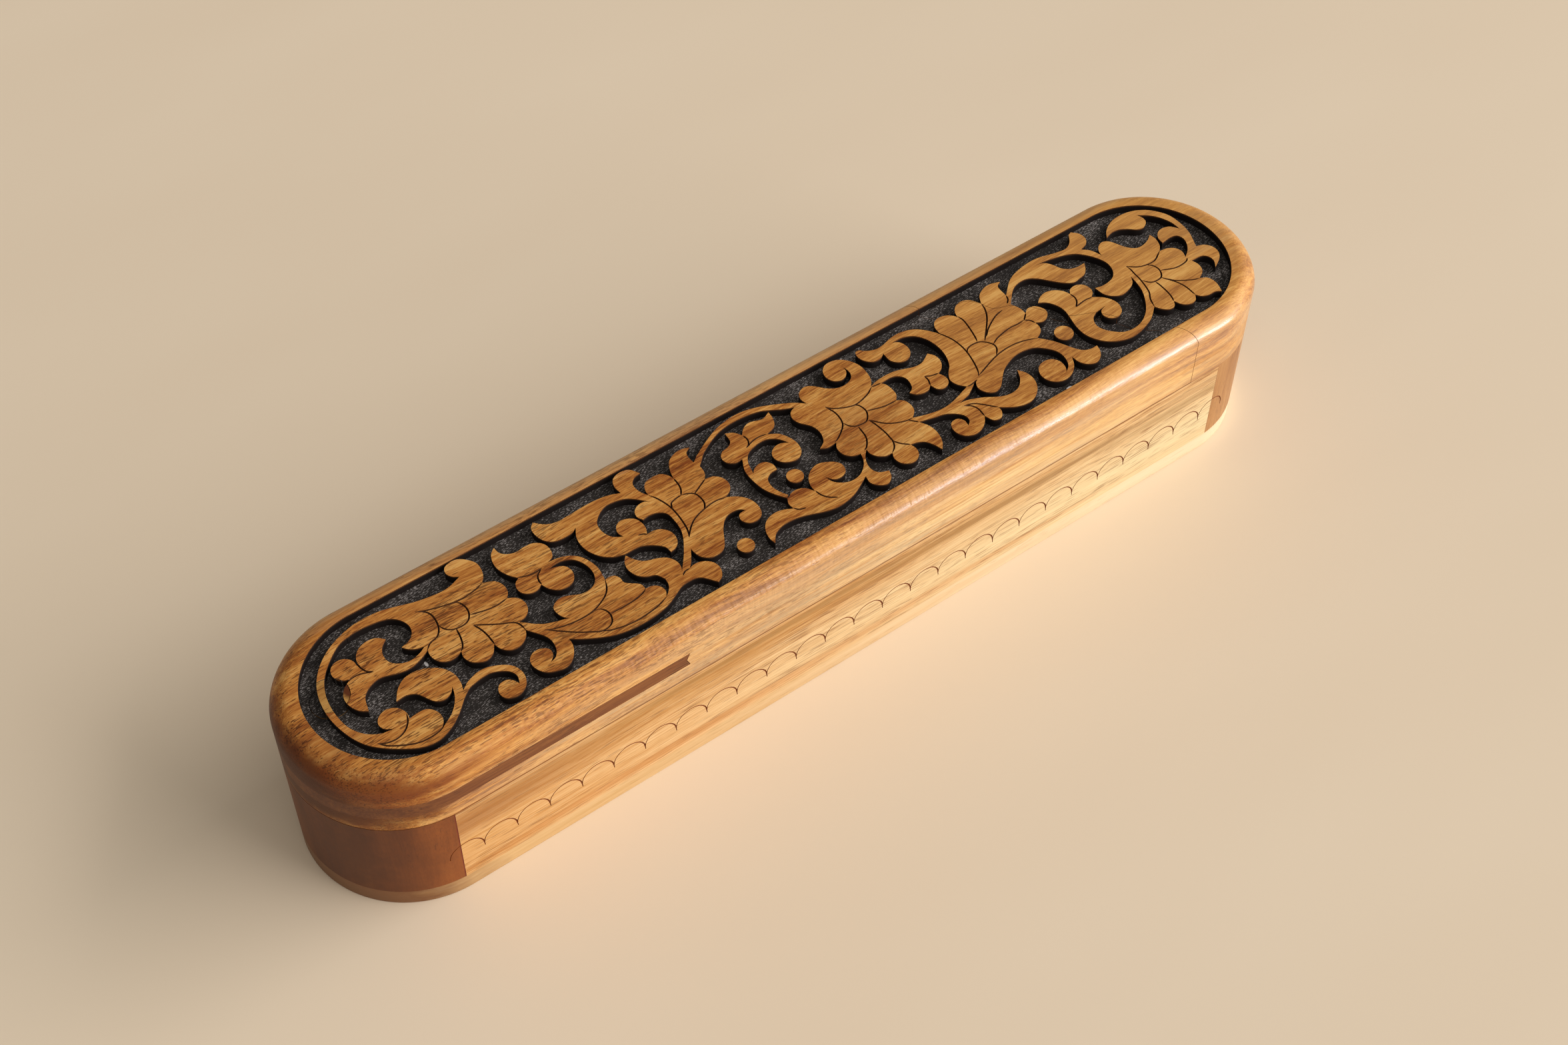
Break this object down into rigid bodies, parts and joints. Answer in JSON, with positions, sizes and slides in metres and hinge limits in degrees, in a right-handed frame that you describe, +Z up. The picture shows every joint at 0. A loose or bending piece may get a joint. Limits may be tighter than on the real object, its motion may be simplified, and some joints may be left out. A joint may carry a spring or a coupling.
{
  "type": "pencil box",
  "caption": "Long wooden pencil box with rounded ends, a carved floral lid that turns on a dowel at one end, and a fixed end cap beyond a wavy seam.",
  "frame": {"origin": "centre of the flat underside of the base plate, on the surface the box stands on", "axes": "+X along the box from the pivot end to the end with the fixed cap, -Y to the front side that the lid turns towards, +Z up"},
  "size_m": [0.24, 0.046, 0.042],
  "materials": {
    "base_wood": "pale varnished wood, satin",
    "side_wood": "golden varnished wood with fine streaks, satin",
    "dark_block_wood": "red-brown varnished end grain, satin",
    "far_block_wood": "mid-brown varnished end grain, satin",
    "lid_wood": "honey-brown varnished wood, satin; carved ground stained black and matt",
    "slip_wood": "dark brown varnished wood, satin"
  },
  "bodies": {
    "box": {"base_plate": "base_wood", "front_side_panel": "side_wood", "back_side_panel": "side_wood", "pivot_end_block": "dark_block_wood", "far_end_block": "far_block_wood", "fixed_end_cap": "lid_wood"},
    "lid": {"lid_board": "lid_wood", "lid_slip_plate": "slip_wood", "pivot_dowel": "lid_wood"}
  },
  "joints": [
    {"name": "lid_swivel", "type": "hinge", "parent": "box", "child": "lid", "pos_m": [-0.1077, 0.004, 0.0263], "axis": [0, 0, -1], "range_deg": [0, 340]}
  ]
}
